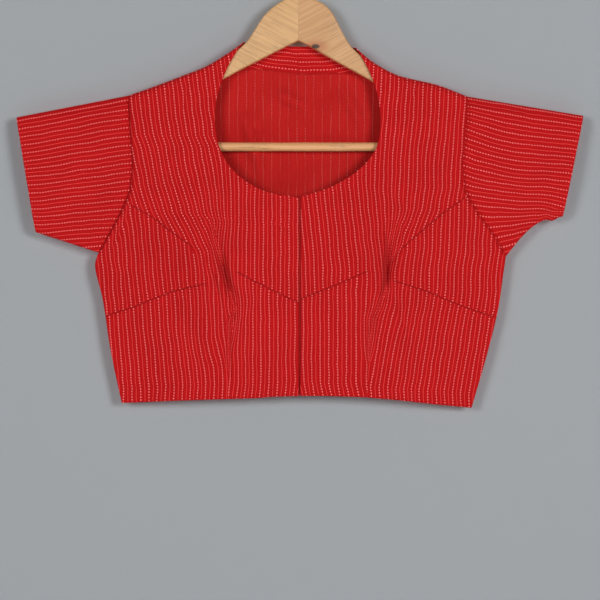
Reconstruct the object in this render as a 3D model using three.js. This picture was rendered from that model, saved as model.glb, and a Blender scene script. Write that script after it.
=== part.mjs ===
// Choli blouse hanging on a wooden hanger. Millimetres, +Z up, the front faces -Y, +X is the wearer's left.
// The origin is the point inside the hook that rests on a rail. A place on the blouse is given by how far it
// is from the centre (out), its height (z), and how far in front of or behind the hanger's middle it lies
// (deep).
import * as THREE from "three";

// ---- driving dimensions ----
const CLOTH = 1.2; // thickness of a wall of cloth
const FACING = 1; // thickness of the collar's inner layer
const GAP = 0.4; // between the edges of two pieces at a seam
const SEAM_STEP = 0.7; // how far the back's top edge steps away from the edges of the front and its collar
const RIDGE_R = 8; // radius of the cloth where it bends over the hanger's arm
const LENS = 2.4; // how full a panel stays before it falls to its side
const UNDERARM_LENS = 0.9; // depth of each layer at the side seam
const BEND_START = 0.98; // where the back's bend starts at most, as a share of the panel's depth
const SIDE_SHARE = 1 / 6; // share of a panel's width, next to its side, over which its relief fades out
const SHOULDER_SHARE = 0.3; // share of its height over which the shoulder's curve still shapes it
const CUFF_DEEP = 7; // half the thickness of a sleeve at its cuff
const SLEEVE_START = 0.5; // how far out from the armhole's edge a sleeve starts
const COLLAR_DEEP = 10.5; // how far behind the hanger's middle the collar stands at the centre back
const COLLAR_TOP_Z = -113; // the collar's free edge there
const COLLAR_SEAM_Z = -143.6; // the collar's seam there

const WOOD = 12; // thickness of the hanger's arms
const WOOD_ROUND = 3; // rounding of their edges
const WOOD_TOP_Z = -55; // top of the wood, under the hook
const JOINT = 0.15; // half the gap at the glued joint between the arms
const BAR_R = 5; // radius of the bar
const BAR_Z = -225; // height of its axis
const BAR_HALF = 161; // half its length
const WIRE_R = 1.8; // radius of the hook's wire
const HOOK_R = 20; // radius of the hook's bend, to the middle of the wire
const HOOK_TIP = -35; // where the bend starts, in degrees from the wearer's left
const HOOK_END = 235; // where it ends and turns into the stem
const STEM = 11; // length of the stem, and of the bend into it

// How finely each surface is divided. The neck and armhole take whole rows, so that their ends are corners.
const DOWN = 24; // rows of a panel
const NECK_ROWS = 10; // rows beside the neckline; the front edge has the rest
const ARMHOLE_ROWS = 11; // rows beside the armhole; the side seam has the rest
const BEND = 3; // rows round the bend over the arm
const FRONT_COLUMNS = 18;
const COLLAR_COLUMNS = 9; // columns of a front that go on into its collar
const COLLAR_ROWS = 8;
const BACK_COLUMNS = 12; // columns of half the back; those below the collar match its rows
const SLEEVE_ROWS = 5;

// The two halves differ by a few millimetres, as a blouse does on its hanger. Each table runs from the
// shoulder down.
const HALVES = {
  right: {
    sign: -1,
    ridge: [
      { out: 59.8, z: -108.6 },
      { out: 76.8, z: -120.4 },
      { out: 101.8, z: -135.6 },
      { out: 122.7, z: -144.1 },
      { out: 156, z: -156.8 },
      { out: 189, z: -168.6 },
    ],
    neck: [
      { out: 66.8, z: -116.6, deep: 8 },
      { out: 78.4, z: -137, deep: 9 },
      { out: 89.5, z: -166.8, deep: 10 },
      { out: 92.7, z: -189.4, deep: 11 },
      { out: 88.2, z: -224.8, deep: 12 },
      { out: 71.2, z: -253.1, deep: 13.5 },
      { out: 38.5, z: -274.3, deep: 15 },
      { out: 0.2, z: -282.3, deep: 16 },
    ],
    frontEdge: [
      { out: 0.2, z: -282.3, deep: 16 },
      { out: 0.2, z: -400, deep: 15 },
      { out: 0.2, z: -498.8, deep: 12 },
    ],
    armhole: [
      { out: 188.4, z: -176.6, deep: 8 },
      { out: 186.6, z: -204, deep: 10 },
      { out: 183.7, z: -245, deep: 11 },
      { out: 186.6, z: -274, deep: 10 },
      { out: 199.8, z: -304, deep: 8 },
      { out: 214.3, z: -330.4, deep: 4 },
      { out: 221.5, z: -342, deep: UNDERARM_LENS },
    ],
    side: [
      { out: 221.5, z: -342, deep: UNDERARM_LENS },
      { out: 225.4, z: -356, deep: UNDERARM_LENS },
      { out: 217, z: -394, deep: UNDERARM_LENS },
      { out: 208, z: -452, deep: UNDERARM_LENS },
      { out: 195.9, z: -509, deep: UNDERARM_LENS },
    ],
    cuff: { topOut: 312.5, topZ: -192.6, lowOut: 291.4, lowZ: -319.5, underLift: 0 },
    collar: { freeZ: -110, seamZ: -138.5 },
  },
  left: {
    sign: 1,
    ridge: [
      { out: 62.7, z: -115 },
      { out: 82.3, z: -131 },
      { out: 107.8, z: -145 },
      { out: 122.5, z: -149.3 },
      { out: 154.5, z: -156.8 },
      { out: 188.1, z: -169.7 },
    ],
    neck: [
      { out: 68.6, z: -123, deep: 8 },
      { out: 79, z: -143, deep: 9 },
      { out: 87.2, z: -166.8, deep: 10 },
      { out: 91, z: -197, deep: 11 },
      { out: 86.6, z: -226, deep: 12 },
      { out: 69.5, z: -248.8, deep: 13.5 },
      { out: 36.5, z: -270, deep: 15 },
      { out: 3, z: -281, deep: 16 },
    ],
    frontEdge: [
      { out: 3, z: -281, deep: 16 },
      { out: 3, z: -400, deep: 15 },
      { out: 2.4, z: -498.8, deep: 12 },
    ],
    armhole: [
      { out: 187.4, z: -177.7, deep: 8 },
      { out: 185.2, z: -204, deep: 10 },
      { out: 181.5, z: -246.3, deep: 11 },
      { out: 185, z: -275, deep: 10 },
      { out: 199, z: -299.5, deep: 8 },
      { out: 217, z: -324, deep: 4 },
      { out: 230, z: -346, deep: UNDERARM_LENS },
    ],
    side: [
      { out: 230, z: -346, deep: UNDERARM_LENS },
      { out: 227, z: -366, deep: UNDERARM_LENS },
      { out: 221.5, z: -404, deep: UNDERARM_LENS },
      { out: 209, z: -455, deep: UNDERARM_LENS },
      { out: 191.8, z: -514.5, deep: UNDERARM_LENS },
    ],
    cuff: { topOut: 315.8, topZ: -190.8, lowOut: 293, lowZ: -302, underLift: 12 },
    collar: { freeZ: -112.5, seamZ: -143 },
  },
};

// The fullness that the darts give the front: one soft cup on each half.
const CUP = { out: 89, z: -367, forward: 15, wide: 62, tall: 78 };

// The largest folds: troughs from one place to another, with their depth and half width. The back has
// softer ones.
const FOLDS = {
  right: [
    { out: 96, z: -292, toOut: 76, toZ: -392, depth: 6, half: 12 },
    { out: 74, z: -398, toOut: 82, toZ: -470, depth: 4, half: 13 },
    { out: 118, z: -400, toOut: 104, toZ: -492, depth: 4, half: 16 },
  ],
  left: [
    { out: 104, z: -290, toOut: 97, toZ: -386, depth: 6, half: 12 },
    { out: 94, z: -392, toOut: 78, toZ: -474, depth: 4, half: 13 },
    { out: 116, z: -380, toOut: 122, toZ: -470, depth: 4, half: 16 },
  ],
};
const BACK_FOLDS = {
  right: [{ out: 84, z: -505, toOut: 78, toZ: -372, depth: 3.5, half: 15 }],
  left: [{ out: 90, z: -508, toOut: 80, toZ: -390, depth: 3, half: 17 }],
};

// The centre of the back, from the collar's seam down to the hem.
const BACK_MIDDLE = [
  { out: 0, z: COLLAR_SEAM_Z - RIDGE_R, deep: COLLAR_DEEP },
  { out: 0, z: -250, deep: 12.5 },
  { out: 0, z: -400, deep: 13.5 },
  { out: 0, z: -499, deep: 11 },
];

// The button stand behind the front opening: how far it reaches to each side, and how far behind the fronts
// it lies.
const STAND = { right: 16, left: 13, behind: 2.4 };

// The hanger's arms: the top and bottom of the wood at each distance from the centre.
const ARMS = {
  right: [
    { out: JOINT, top: WOOD_TOP_Z, bottom: -107.5 },
    { out: 13, top: -60.5, bottom: -113.6 },
    { out: 26, top: -68, bottom: -120 },
    { out: 38, top: -79, bottom: -126.3 },
    { out: 46, top: -91, bottom: -130.4 },
    { out: 57, top: -108.5, bottom: -136 },
    { out: 76.8, top: -123.2, bottom: -146.5 },
    { out: 101.8, top: -138.4, bottom: -159.6 },
    { out: 122.7, top: -147, bottom: -170.4 },
    { out: 146, top: -156, bottom: -184 },
    { out: 158, top: -160.5, bottom: -206 },
    { out: 166, top: -163.5, bottom: -232 },
    { out: 174, top: -167, bottom: -237 },
    { out: 184, top: -172, bottom: -236 },
    { out: 192, top: -182, bottom: -229 },
  ],
  left: [
    { out: JOINT, top: WOOD_TOP_Z, bottom: -107.5 },
    { out: 14, top: -60.5, bottom: -114.9 },
    { out: 27, top: -66, bottom: -122.2 },
    { out: 37.8, top: -76.5, bottom: -128.3 },
    { out: 46, top: -93, bottom: -132.8 },
    { out: 58, top: -114, bottom: -139.5 },
    { out: 82.3, top: -133.8, bottom: -152.9 },
    { out: 107.8, top: -147.8, bottom: -167 },
    { out: 122.5, top: -152.1, bottom: -175.2 },
    { out: 146, top: -158, bottom: -188 },
    { out: 158, top: -161.5, bottom: -208 },
    { out: 166, top: -164.5, bottom: -232 },
    { out: 174, top: -167.5, bottom: -237 },
    { out: 184, top: -172.5, bottom: -236 },
    { out: 192, top: -182, bottom: -229 },
  ],
};

const COLOURS = {
  cloth: { color: 0xba2424, roughness: 0.85, metalness: 0 },
  inside: { color: 0xb1221f, roughness: 0.9, metalness: 0 },
  facing: { color: 0xb82925, roughness: 0.85, metalness: 0 },
  wood: { color: 0xc49b6b, roughness: 0.5, metalness: 0 },
  steel: { color: 0xb9bcc0, roughness: 0.3, metalness: 1 },
};

// ---- curves ----
const { lerp: mix, clamp, degToRad } = THREE.MathUtils;
const steps = (count) => Array.from({ length: count + 1 }, (_, k) => k / count);

// A smooth curve through rows of out, z and deep. Its points are vectors (out, deep, z).
function curveThrough(rows) {
  const points = rows.map(({ out, z, deep = 0 }) => new THREE.Vector3(out, deep, z));
  const curve = new THREE.CatmullRomCurve3(points, false, "centripetal");
  return (share) => curve.getPointAt(clamp(share, 0, 1));
}

// Two curves end to end: the first takes the given share of the way.
function endToEnd(first, second, share) {
  return (t) => (t < share ? first(t / share) : second((t - share) / (1 - share)));
}

// The collar's two edges, from the top of the shoulder round to the centre back.
function collarEdges(ridge, { freeZ, seamZ }) {
  const free = ridge(0);
  const notch = ridge(COLLAR_COLUMNS / FRONT_COLUMNS);
  return {
    free: curveThrough([
      { out: free.x, z: free.z, deep: 0 },
      { out: free.x + 0.6, z: free.z - 0.4, deep: 5 },
      { out: free.x - 4, z: mix(free.z, freeZ, 0.5), deep: 8.6 },
      { out: free.x * 0.75, z: freeZ, deep: 9.6 },
      { out: free.x * 0.45, z: mix(freeZ, COLLAR_TOP_Z, 0.6), deep: 10.2 },
      { out: GAP / 2, z: COLLAR_TOP_Z, deep: COLLAR_DEEP },
    ]),
    seam: curveThrough([
      { out: notch.x, z: notch.z, deep: 0 },
      { out: notch.x - 1, z: notch.z + 0.2, deep: 5 },
      { out: notch.x - 8, z: mix(notch.z, seamZ, 0.3), deep: 8.6 },
      { out: notch.x * 0.68, z: mix(notch.z, seamZ, 0.8), deep: 9.6 },
      { out: notch.x * 0.36, z: seamZ, deep: 10.2 },
      { out: GAP / 2, z: COLLAR_SEAM_Z, deep: COLLAR_DEEP },
    ]),
  };
}

function makeHalf(name) {
  const rows = HALVES[name];
  const ridge = curveThrough(rows.ridge);
  return {
    name,
    sign: rows.sign,
    cuff: rows.cuff,
    ridge,
    collar: collarEdges(ridge, rows.collar),
    inner: endToEnd(curveThrough(rows.neck), curveThrough(rows.frontEdge), NECK_ROWS / DOWN),
    outer: endToEnd(curveThrough(rows.armhole), curveThrough(rows.side), ARMHOLE_ROWS / DOWN),
  };
}

const halves = { right: makeHalf("right"), left: makeHalf("left") };
const backMiddle = curveThrough(BACK_MIDDLE);

// ---- the shape of the cloth ----
// Depth of a soft trough at a place: full along its line, fading out to its ends and sides.
function trough(fold, out, z) {
  const along = new THREE.Vector2(fold.toOut - fold.out, fold.toZ - fold.z);
  const place = new THREE.Vector2(out - fold.out, z - fold.z);
  const share = clamp(place.dot(along) / along.lengthSq(), 0, 1);
  const off = place.distanceTo(along.multiplyScalar(share)) / fold.half;
  return fold.depth * Math.sin(Math.PI * clamp(share, 0.08, 0.92)) * Math.exp(-off * off);
}

function foldsAt(folds, out, z) {
  return folds.reduce((sum, fold) => sum + trough(fold, out, z), 0);
}

function cupAt(out, z) {
  return CUP.forward * Math.exp(-(((out - CUP.out) / CUP.wide) ** 2) - ((z - CUP.z) / CUP.tall) ** 2);
}

// How strongly the shoulder's curve still shapes a panel at this share of the way down.
const shoulderFade = (t) => Math.max(0, 1 - t / SHOULDER_SHARE) ** 2;

// How much of the relief a panel still has at this share of the way to its side.
const sideFade = (u) => Math.min(1, (1 - u) / SIDE_SHARE);

// A point on a front: u runs from the neckline or front edge to the armhole or side seam, and t down the
// panel.
function frontPoint(half, u, t) {
  const inner = half.inner(t);
  const outer = half.outer(t);
  const curved = half.ridge(u).sub(half.ridge(0).lerp(half.ridge(1), u)).multiplyScalar(shoulderFade(t));
  const out = mix(inner.x, outer.x, u) + curved.x;
  const z = mix(inner.z, outer.z, u) + curved.z;
  const relief = (cupAt(out, z) - foldsAt(FOLDS[half.name], out, z)) * sideFade(u);
  const deep = mix(outer.y, inner.y, 1 - u ** LENS) + relief;
  return new THREE.Vector3(half.sign * out, -deep, z);
}

// A point on the bend over the arm: turn is 0 on the ridge and 1 where the front hangs straight.
function frontBend(half, u, turn) {
  const top = half.ridge(u);
  const hanging = frontPoint(half, u, 0);
  const angle = (turn * Math.PI) / 2;
  const share = 1 - Math.cos(angle);
  const out = mix(top.x, half.sign * hanging.x, share);
  return new THREE.Vector3(half.sign * out, hanging.y * Math.sin(angle), mix(top.z, hanging.z, share));
}

// A point on the collar: w runs from its free edge to its seam, and v from the shoulder round to the centre
// back.
function collarPoint(half, w, v) {
  const { free, seam } = half.collar;
  const curved = half.ridge((w * COLLAR_COLUMNS) / FRONT_COLUMNS).sub(free(0).lerp(seam(0), w));
  const place = free(v).lerp(seam(v), w).addScaledVector(curved, (1 - v) ** 3);
  return new THREE.Vector3(half.sign * place.x, place.y, place.z);
}

// Shares of the collar's length, closer together near the shoulder, where it turns.
const collarShares = steps(COLLAR_ROWS).map((share) => share ** 1.5);

// The back's top edge at one column: below the collar's seam, then along the shoulder seam.
function backTop(half, column) {
  if (column <= COLLAR_ROWS) {
    const seam = half.collar.seam(collarShares[COLLAR_ROWS - column]);
    return seam.add(new THREE.Vector3(column === 0 ? -seam.x : SEAM_STEP, 0, -SEAM_STEP));
  }
  const notch = COLLAR_COLUMNS / FRONT_COLUMNS;
  return half.ridge(mix(notch, 1, (column - COLLAR_ROWS) / (BACK_COLUMNS - COLLAR_ROWS)));
}

// A point on half the back: columns run from the centre to the side, and t down the panel.
function backPoint(half, column, t) {
  const u = column / BACK_COLUMNS;
  const middle = backMiddle(t);
  const outer = half.outer(t);
  const top = backTop(half, column);
  const straight = mix(backMiddle(0).z, half.outer(0).z, u);
  const z = mix(middle.z, outer.z, u) + (top.z - RIDGE_R - straight) * shoulderFade(t);
  const out = mix(outer.x * u, Math.min(top.x, outer.x), shoulderFade(t));
  const deep = mix(outer.y, middle.y, 1 - u ** LENS) - foldsAt(BACK_FOLDS[half.name], out, z) * sideFade(u);
  return new THREE.Vector3(half.sign * out, deep, z);
}

// A point between the back's top edge and its first straight row: turn is 0 on the edge.
function backBend(half, column, turn) {
  const top = backTop(half, column);
  const hanging = backPoint(half, column, 0);
  const from = Math.asin(Math.min(BEND_START, Math.max(SEAM_STEP, top.y) / hanging.y));
  const angle = mix(from, Math.PI / 2, turn);
  const share = 1 - Math.cos(angle) / Math.cos(from);
  const out = mix(top.x, half.sign * hanging.x, share);
  return new THREE.Vector3(half.sign * out, hanging.y * Math.sin(angle), mix(top.z, hanging.z, share));
}

// The armhole's edge on one layer, from the top of the shoulder down to the underarm.
function armholeEdge(half) {
  const bend = steps(BEND).map((turn) => frontBend(half, 1, turn));
  const shares = steps(ARMHOLE_ROWS).slice(1);
  const rest = shares.map((share) => frontPoint(half, 1, (share * ARMHOLE_ROWS) / DOWN));
  return [...bend, ...rest];
}

// ---- closed solids from grids of points ----
// The average direction that the cells round each point of a grid face.
function gridNormals(points, cells) {
  const normals = points.map(() => new THREE.Vector3());
  for (const { corners } of cells) {
    const [a, b, c, d] = corners.map((corner) => points[corner]);
    const normal = c.clone().sub(a).cross(d.clone().sub(b)).normalize();
    corners.forEach((corner) => normals[corner].add(normal));
  }
  return normals.map((normal) => normal.normalize());
}

// The cells of a grid of rows of points, each with its four corners and which of its sides are free. A cell
// that has() refuses is left out. A ring closes on itself.
function gridCells(rows, { has = () => true, ring = false } = {}) {
  const across = rows[0].length;
  const cellsAcross = ring ? across : across - 1;
  const id = (j, i) => j * across + (i % across);
  const present = (j, i) => {
    const outside = j < 0 || j >= rows.length - 1 || (!ring && (i < 0 || i >= cellsAcross));
    return !outside && has(j, (i + cellsAcross) % cellsAcross);
  };
  const cells = [];
  for (let j = 0; j < rows.length - 1; j++) {
    for (let i = 0; i < cellsAcross; i++) {
      if (!present(j, i)) continue;
      const corners = [id(j, i), id(j, i + 1), id(j + 1, i + 1), id(j + 1, i)];
      const free = [!present(j - 1, i), !present(j, i + 1), !present(j + 1, i), !present(j, i - 1)];
      cells.push({ corners, free });
    }
  }
  return cells;
}

function solid(points, index) {
  const geometry = new THREE.BufferGeometry();
  const coordinates = points.flatMap((p) => p.toArray());
  geometry.setAttribute("position", new THREE.Float32BufferAttribute(coordinates, 3));
  geometry.setIndex(index);
  return geometry;
}

// A closed wall of even thickness round a grid. Moved shifts it along the grid's own normals.
function wall(rows, thickness, { moved = 0, ...layout } = {}) {
  const cells = gridCells(rows, layout);
  const middle = rows.flat();
  const normals = gridNormals(middle, cells);
  const shifted = (distance) =>
    middle.map((point, k) => point.clone().addScaledVector(normals[k], distance));
  const points = [...shifted(moved + thickness / 2), ...shifted(moved - thickness / 2)];
  const under = middle.length;
  const index = [];
  for (const { corners, free } of cells) {
    const [a, b, c, d] = corners;
    index.push(a, b, c, a, c, d);
    index.push(under + a, under + c, under + b, under + a, under + d, under + c);
    corners.forEach((from, k) => {
      const to = corners[(k + 1) % 4];
      if (free[k]) index.push(to, from, under + from, to, under + from, under + to);
    });
  }
  return solid(points, index);
}

// A solid through rings of points with a flat cap at each end.
function loft(rings) {
  const count = rings[0].length;
  const cells = gridCells(rings, { ring: true });
  const index = cells.flatMap(({ corners: [a, b, c, d] }) => [a, b, c, a, c, d]);
  const last = (rings.length - 1) * count;
  for (let k = 1; k < count - 1; k++) {
    index.push(0, k + 1, k);
    index.push(last, last + k, last + k + 1);
  }
  return solid(rings.flat(), index);
}

// ---- pieces of the blouse ----
function front(half) {
  const columns = steps(FRONT_COLUMNS);
  const acrossCollar = (u) => Math.min(1, (u * FRONT_COLUMNS) / COLLAR_COLUMNS);
  const rows = [];
  for (const v of collarShares.slice(1).reverse()) {
    rows.push(columns.map((u) => collarPoint(half, acrossCollar(u), v)));
  }
  for (const turn of steps(BEND).slice(0, -1)) {
    rows.push(columns.map((u) => frontBend(half, u, turn)));
  }
  for (const t of steps(DOWN)) {
    rows.push(columns.map((u) => frontPoint(half, u, t)));
  }
  return wall(rows, CLOTH, { has: (row, column) => row >= COLLAR_ROWS || column < COLLAR_COLUMNS });
}

// The facing lines the collar from where the hanger's arm hides it to the centre back.
function collarFacing(half) {
  const round = steps(7).map((share) => mix(0.2, 1, share));
  const across = steps(5).map((share) => mix(0.03, 0.96, share));
  const rows = round.map((v) => across.map((w) => collarPoint(half, w, v)));
  const inward = half.sign * (CLOTH / 2 + GAP + FACING / 2);
  return wall(rows, FACING, { moved: inward });
}

function back() {
  const columns = [];
  for (let k = BACK_COLUMNS; k > 0; k--) {
    columns.push([halves.right, k]);
  }
  for (let k = 0; k <= BACK_COLUMNS; k++) {
    columns.push([halves.left, k]);
  }
  const rows = [];
  for (const turn of steps(BEND).slice(0, -1)) {
    rows.push(columns.map(([half, k]) => backBend(half, k, turn)));
  }
  for (const t of steps(DOWN)) {
    rows.push(columns.map(([half, k]) => backPoint(half, k, t)));
  }
  return wall(rows, CLOTH);
}

function sleeve(half) {
  const edge = armholeEdge(half);
  const { topOut, topZ, lowOut, lowZ, underLift } = half.cuff;
  const top = edge[0];
  const low = edge[edge.length - 1];
  const pointAt = (start, along, layer) => {
    const height = (top.z - start.z) / (top.z - low.z);
    const flat = Math.sqrt(Math.max(0, 1 - (2 * height - 1) ** 4));
    const cuff = new THREE.Vector3(
      half.sign * mix(topOut, lowOut, height),
      -(CUFF_DEEP * flat + UNDERARM_LENS * height),
      mix(topZ, lowZ, height),
    );
    const point = start.clone().lerp(cuff, along);
    point.x += half.sign * SLEEVE_START * (1 - along);
    point.z += underLift * Math.sin(Math.PI * along) * height ** 3;
    point.y *= layer;
    return point;
  };
  const rows = steps(SLEEVE_ROWS).map((along) => [
    ...edge.map((start) => pointAt(start, along, 1)),
    ...edge.slice(1).reverse().map((start) => pointAt(start, along, -1)),
  ]);
  return wall(rows, CLOTH, { ring: true });
}

// The stand follows both fronts from behind, from the neckline to the hem.
function buttonStand() {
  const places = [-STAND.right, -STAND.right / 2, 0, STAND.left / 2, STAND.left];
  const rows = steps(DOWN - NECK_ROWS).map((share) => {
    const t = mix(NECK_ROWS / DOWN, 1, share);
    return places.map((x) => {
      const half = x < 0 ? halves.right : halves.left;
      const inner = half.inner(t).x;
      const point = frontPoint(half, clamp((Math.abs(x) - inner) / (half.outer(t).x - inner), 0, 1), t);
      return new THREE.Vector3(x, point.y + STAND.behind, point.z);
    });
  });
  return wall(rows, CLOTH);
}

// ---- pieces of the hanger ----
function hangerArm(name) {
  const { sign } = halves[name];
  const corners = [
    { y: 1, z: 1, from: 0 },
    { y: -1, z: 1, from: 90 },
    { y: -1, z: -1, from: 180 },
    { y: 1, z: -1, from: 270 },
  ];
  const rings = ARMS[name].map(({ out, top, bottom }) =>
    corners.flatMap(({ y, z, from }) =>
      [0, 45, 90].map((turn) => {
        const angle = degToRad(from + turn);
        const height = z > 0 ? top - WOOD_ROUND : bottom + WOOD_ROUND;
        return new THREE.Vector3(
          sign * out,
          y * (WOOD / 2 - WOOD_ROUND) + WOOD_ROUND * Math.cos(angle),
          height + WOOD_ROUND * Math.sin(angle),
        );
      }),
    ),
  );
  return loft(sign > 0 ? rings : rings.map((ring) => [...ring].reverse()));
}

function hangerBar() {
  const bar = new THREE.CylinderGeometry(BAR_R, BAR_R, 2 * BAR_HALF, 16);
  bar.rotateZ(Math.PI / 2);
  bar.translate(0, 0, BAR_Z);
  return bar;
}

// The hook: an arc from its tip over the top, then a bend into the stem that stands on the wood.
function hangerHook() {
  const middleZ = WIRE_R - HOOK_R;
  const arc = steps(18).map((share) => {
    const angle = degToRad(mix(HOOK_TIP, HOOK_END, share));
    return new THREE.Vector3(HOOK_R * Math.cos(angle), 0, middleZ + HOOK_R * Math.sin(angle));
  });
  const stemEnd = WOOD_TOP_Z + GAP;
  const stem = [
    new THREE.Vector3(-1.5, 0, stemEnd + STEM),
    new THREE.Vector3(0, 0, stemEnd + STEM / 2),
    new THREE.Vector3(0, 0, stemEnd),
  ];
  const path = new THREE.CatmullRomCurve3([...arc, ...stem], false, "centripetal");
  const section = new THREE.Shape().absarc(0, 0, WIRE_R, 0, 2 * Math.PI);
  return new THREE.ExtrudeGeometry(section, {
    steps: 48,
    curveSegments: 5,
    extrudePath: path,
    bevelEnabled: false,
  });
}

// ---- the whole ----
const blouse = new THREE.Group();

function add(name, geometry, look) {
  const mesh = new THREE.Mesh(geometry, new THREE.MeshStandardMaterial(COLOURS[look]));
  mesh.name = name;
  blouse.add(mesh);
}

for (const [name, half] of Object.entries(halves)) {
  add(`front_${name}`, front(half), "cloth");
  add(`collar_facing_${name}`, collarFacing(half), "facing");
  add(`sleeve_${name}`, sleeve(half), "cloth");
  add(`hanger_arm_${name}`, hangerArm(name), "wood");
}
add("back", back(), "inside");
add("button_stand", buttonStand(), "cloth");
add("hanger_bar", hangerBar(), "wood");
add("hanger_hook", hangerHook(), "steel");

export default blouse;
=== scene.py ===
"""Choli blouse on a wooden hanger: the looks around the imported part.

Sizes are millimetres until a mesh is made. A place on the blouse is given by how far it is from the centre
(out), its height (z), and how far in front of or behind the hanger's middle it lies (deep), as in the part.
"""
import math
from collections import namedtuple

import bpy
import numpy as np
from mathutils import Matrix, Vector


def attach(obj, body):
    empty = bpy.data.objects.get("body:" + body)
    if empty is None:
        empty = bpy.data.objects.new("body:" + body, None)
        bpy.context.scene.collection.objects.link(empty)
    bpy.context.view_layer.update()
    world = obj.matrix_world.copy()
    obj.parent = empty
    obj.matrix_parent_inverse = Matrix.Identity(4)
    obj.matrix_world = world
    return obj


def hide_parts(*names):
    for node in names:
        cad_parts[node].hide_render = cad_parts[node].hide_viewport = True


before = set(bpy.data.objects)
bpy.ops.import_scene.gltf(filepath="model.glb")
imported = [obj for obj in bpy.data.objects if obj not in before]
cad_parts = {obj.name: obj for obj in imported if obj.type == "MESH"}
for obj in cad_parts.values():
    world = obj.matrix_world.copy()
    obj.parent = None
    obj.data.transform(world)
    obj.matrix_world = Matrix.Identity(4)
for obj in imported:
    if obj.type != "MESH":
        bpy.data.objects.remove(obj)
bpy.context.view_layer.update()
scene = bpy.context.scene

MM = 0.001
CELL = 1.5  # size of a cell of fine cloth
PANEL = 392.0  # about how long a panel is down its middle
CLOTH = 0.8  # thickness of the cloth that shows
RIM = 0.35  # how far a folded edge rounds out past the cloth
RIDGE_R = 8.0  # how far below its top edge the back starts to hang straight
LENS = 2.4  # how full a panel is between its middle and its side
UNDERARM = 0.9  # how far the cloth lies from the hanger's middle at a side seam
CUFF_DEEP = 7.0  # and half way down a cuff
COLLAR_DEEP = 10.5  # and in the collar at the centre back
COLLAR_TOP_Z = -113.0
COLLAR_SEAM_Z = -143.6
GAP = 0.25  # between the pieces at a seam

NECK_SHARE = 10 / 24  # share of a front's inner edge that is neckline
ARMHOLE_SHARE = 11 / 24  # share of a panel's outer edge that is armhole
NOTCH = 0.5  # share of the shoulder at which the collar's seam begins
SLEEVE = 125.0  # length of a sleeve
BACK_NOTCH = 8 / 12  # share of half the back's width that lies below the collar


def table(columns, *rows):
    """Rows with named columns."""
    row_of = namedtuple("Row", columns)
    return [row_of(*row) for row in rows]


HALVES = {
    "right": dict(
        sign=-1,
        ridge=[
            (59.8, -108.6), (76.8, -120.4), (101.8, -135.6), (122.7, -144.1), (156, -156.8),
            (189, -168.6),
        ],
        neck=[
            (66.8, -116.6, 8), (78.4, -137, 9), (89.5, -166.8, 10), (92.7, -189.4, 11),
            (88.2, -224.8, 12), (71.2, -253.1, 13.5), (38.5, -274.3, 15), (0.2, -282.3, 16),
        ],
        front_edge=[(0.2, -282.3, 16), (0.2, -400, 15), (0.2, -498.8, 12)],
        armhole=[
            (188.4, -176.6, 8), (186.6, -204, 10), (183.7, -245, 11), (186.6, -274, 10),
            (199.8, -304, 8), (214.3, -330.4, 4), (221.5, -342, UNDERARM),
        ],
        side=[
            (221.5, -342, UNDERARM), (225.4, -356, UNDERARM), (217, -394, UNDERARM),
            (208, -452, UNDERARM), (195.9, -509, UNDERARM),
        ],
        cuff=dict(top=(312.5, -192.6), low=(291.4, -319.5), under_lift=0),
        collar=dict(free_z=-110, seam_z=-138.5),
    ),
    "left": dict(
        sign=1,
        ridge=[
            (62.7, -115), (82.3, -131), (107.8, -145), (122.5, -149.3), (154.5, -156.8),
            (188.1, -169.7),
        ],
        neck=[
            (68.6, -123, 8), (79, -143, 9), (87.2, -166.8, 10), (91, -197, 11), (86.6, -226, 12),
            (69.5, -248.8, 13.5), (36.5, -270, 15), (3, -281, 16),
        ],
        front_edge=[(3, -281, 16), (3, -400, 15), (2.4, -498.8, 12)],
        armhole=[
            (187.4, -177.7, 8), (185.2, -204, 10), (181.5, -246.3, 11), (185, -275, 10),
            (199, -299.5, 8), (217, -324, 4), (230, -346, UNDERARM),
        ],
        side=[
            (230, -346, UNDERARM), (227, -366, UNDERARM), (221.5, -404, UNDERARM),
            (209, -455, UNDERARM), (191.8, -514.5, UNDERARM),
        ],
        cuff=dict(top=(315.8, -190.8), low=(293, -302), under_lift=12),
        collar=dict(free_z=-112.5, seam_z=-143),
    ),
}
BACK_MIDDLE = [(0, COLLAR_SEAM_Z - RIDGE_R, COLLAR_DEEP), (0, -250, 12.5), (0, -400, 13.5), (0, -499, 11)]

CUP = dict(out=89, z=-367, forward=15, wide=62, tall=78)

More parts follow.
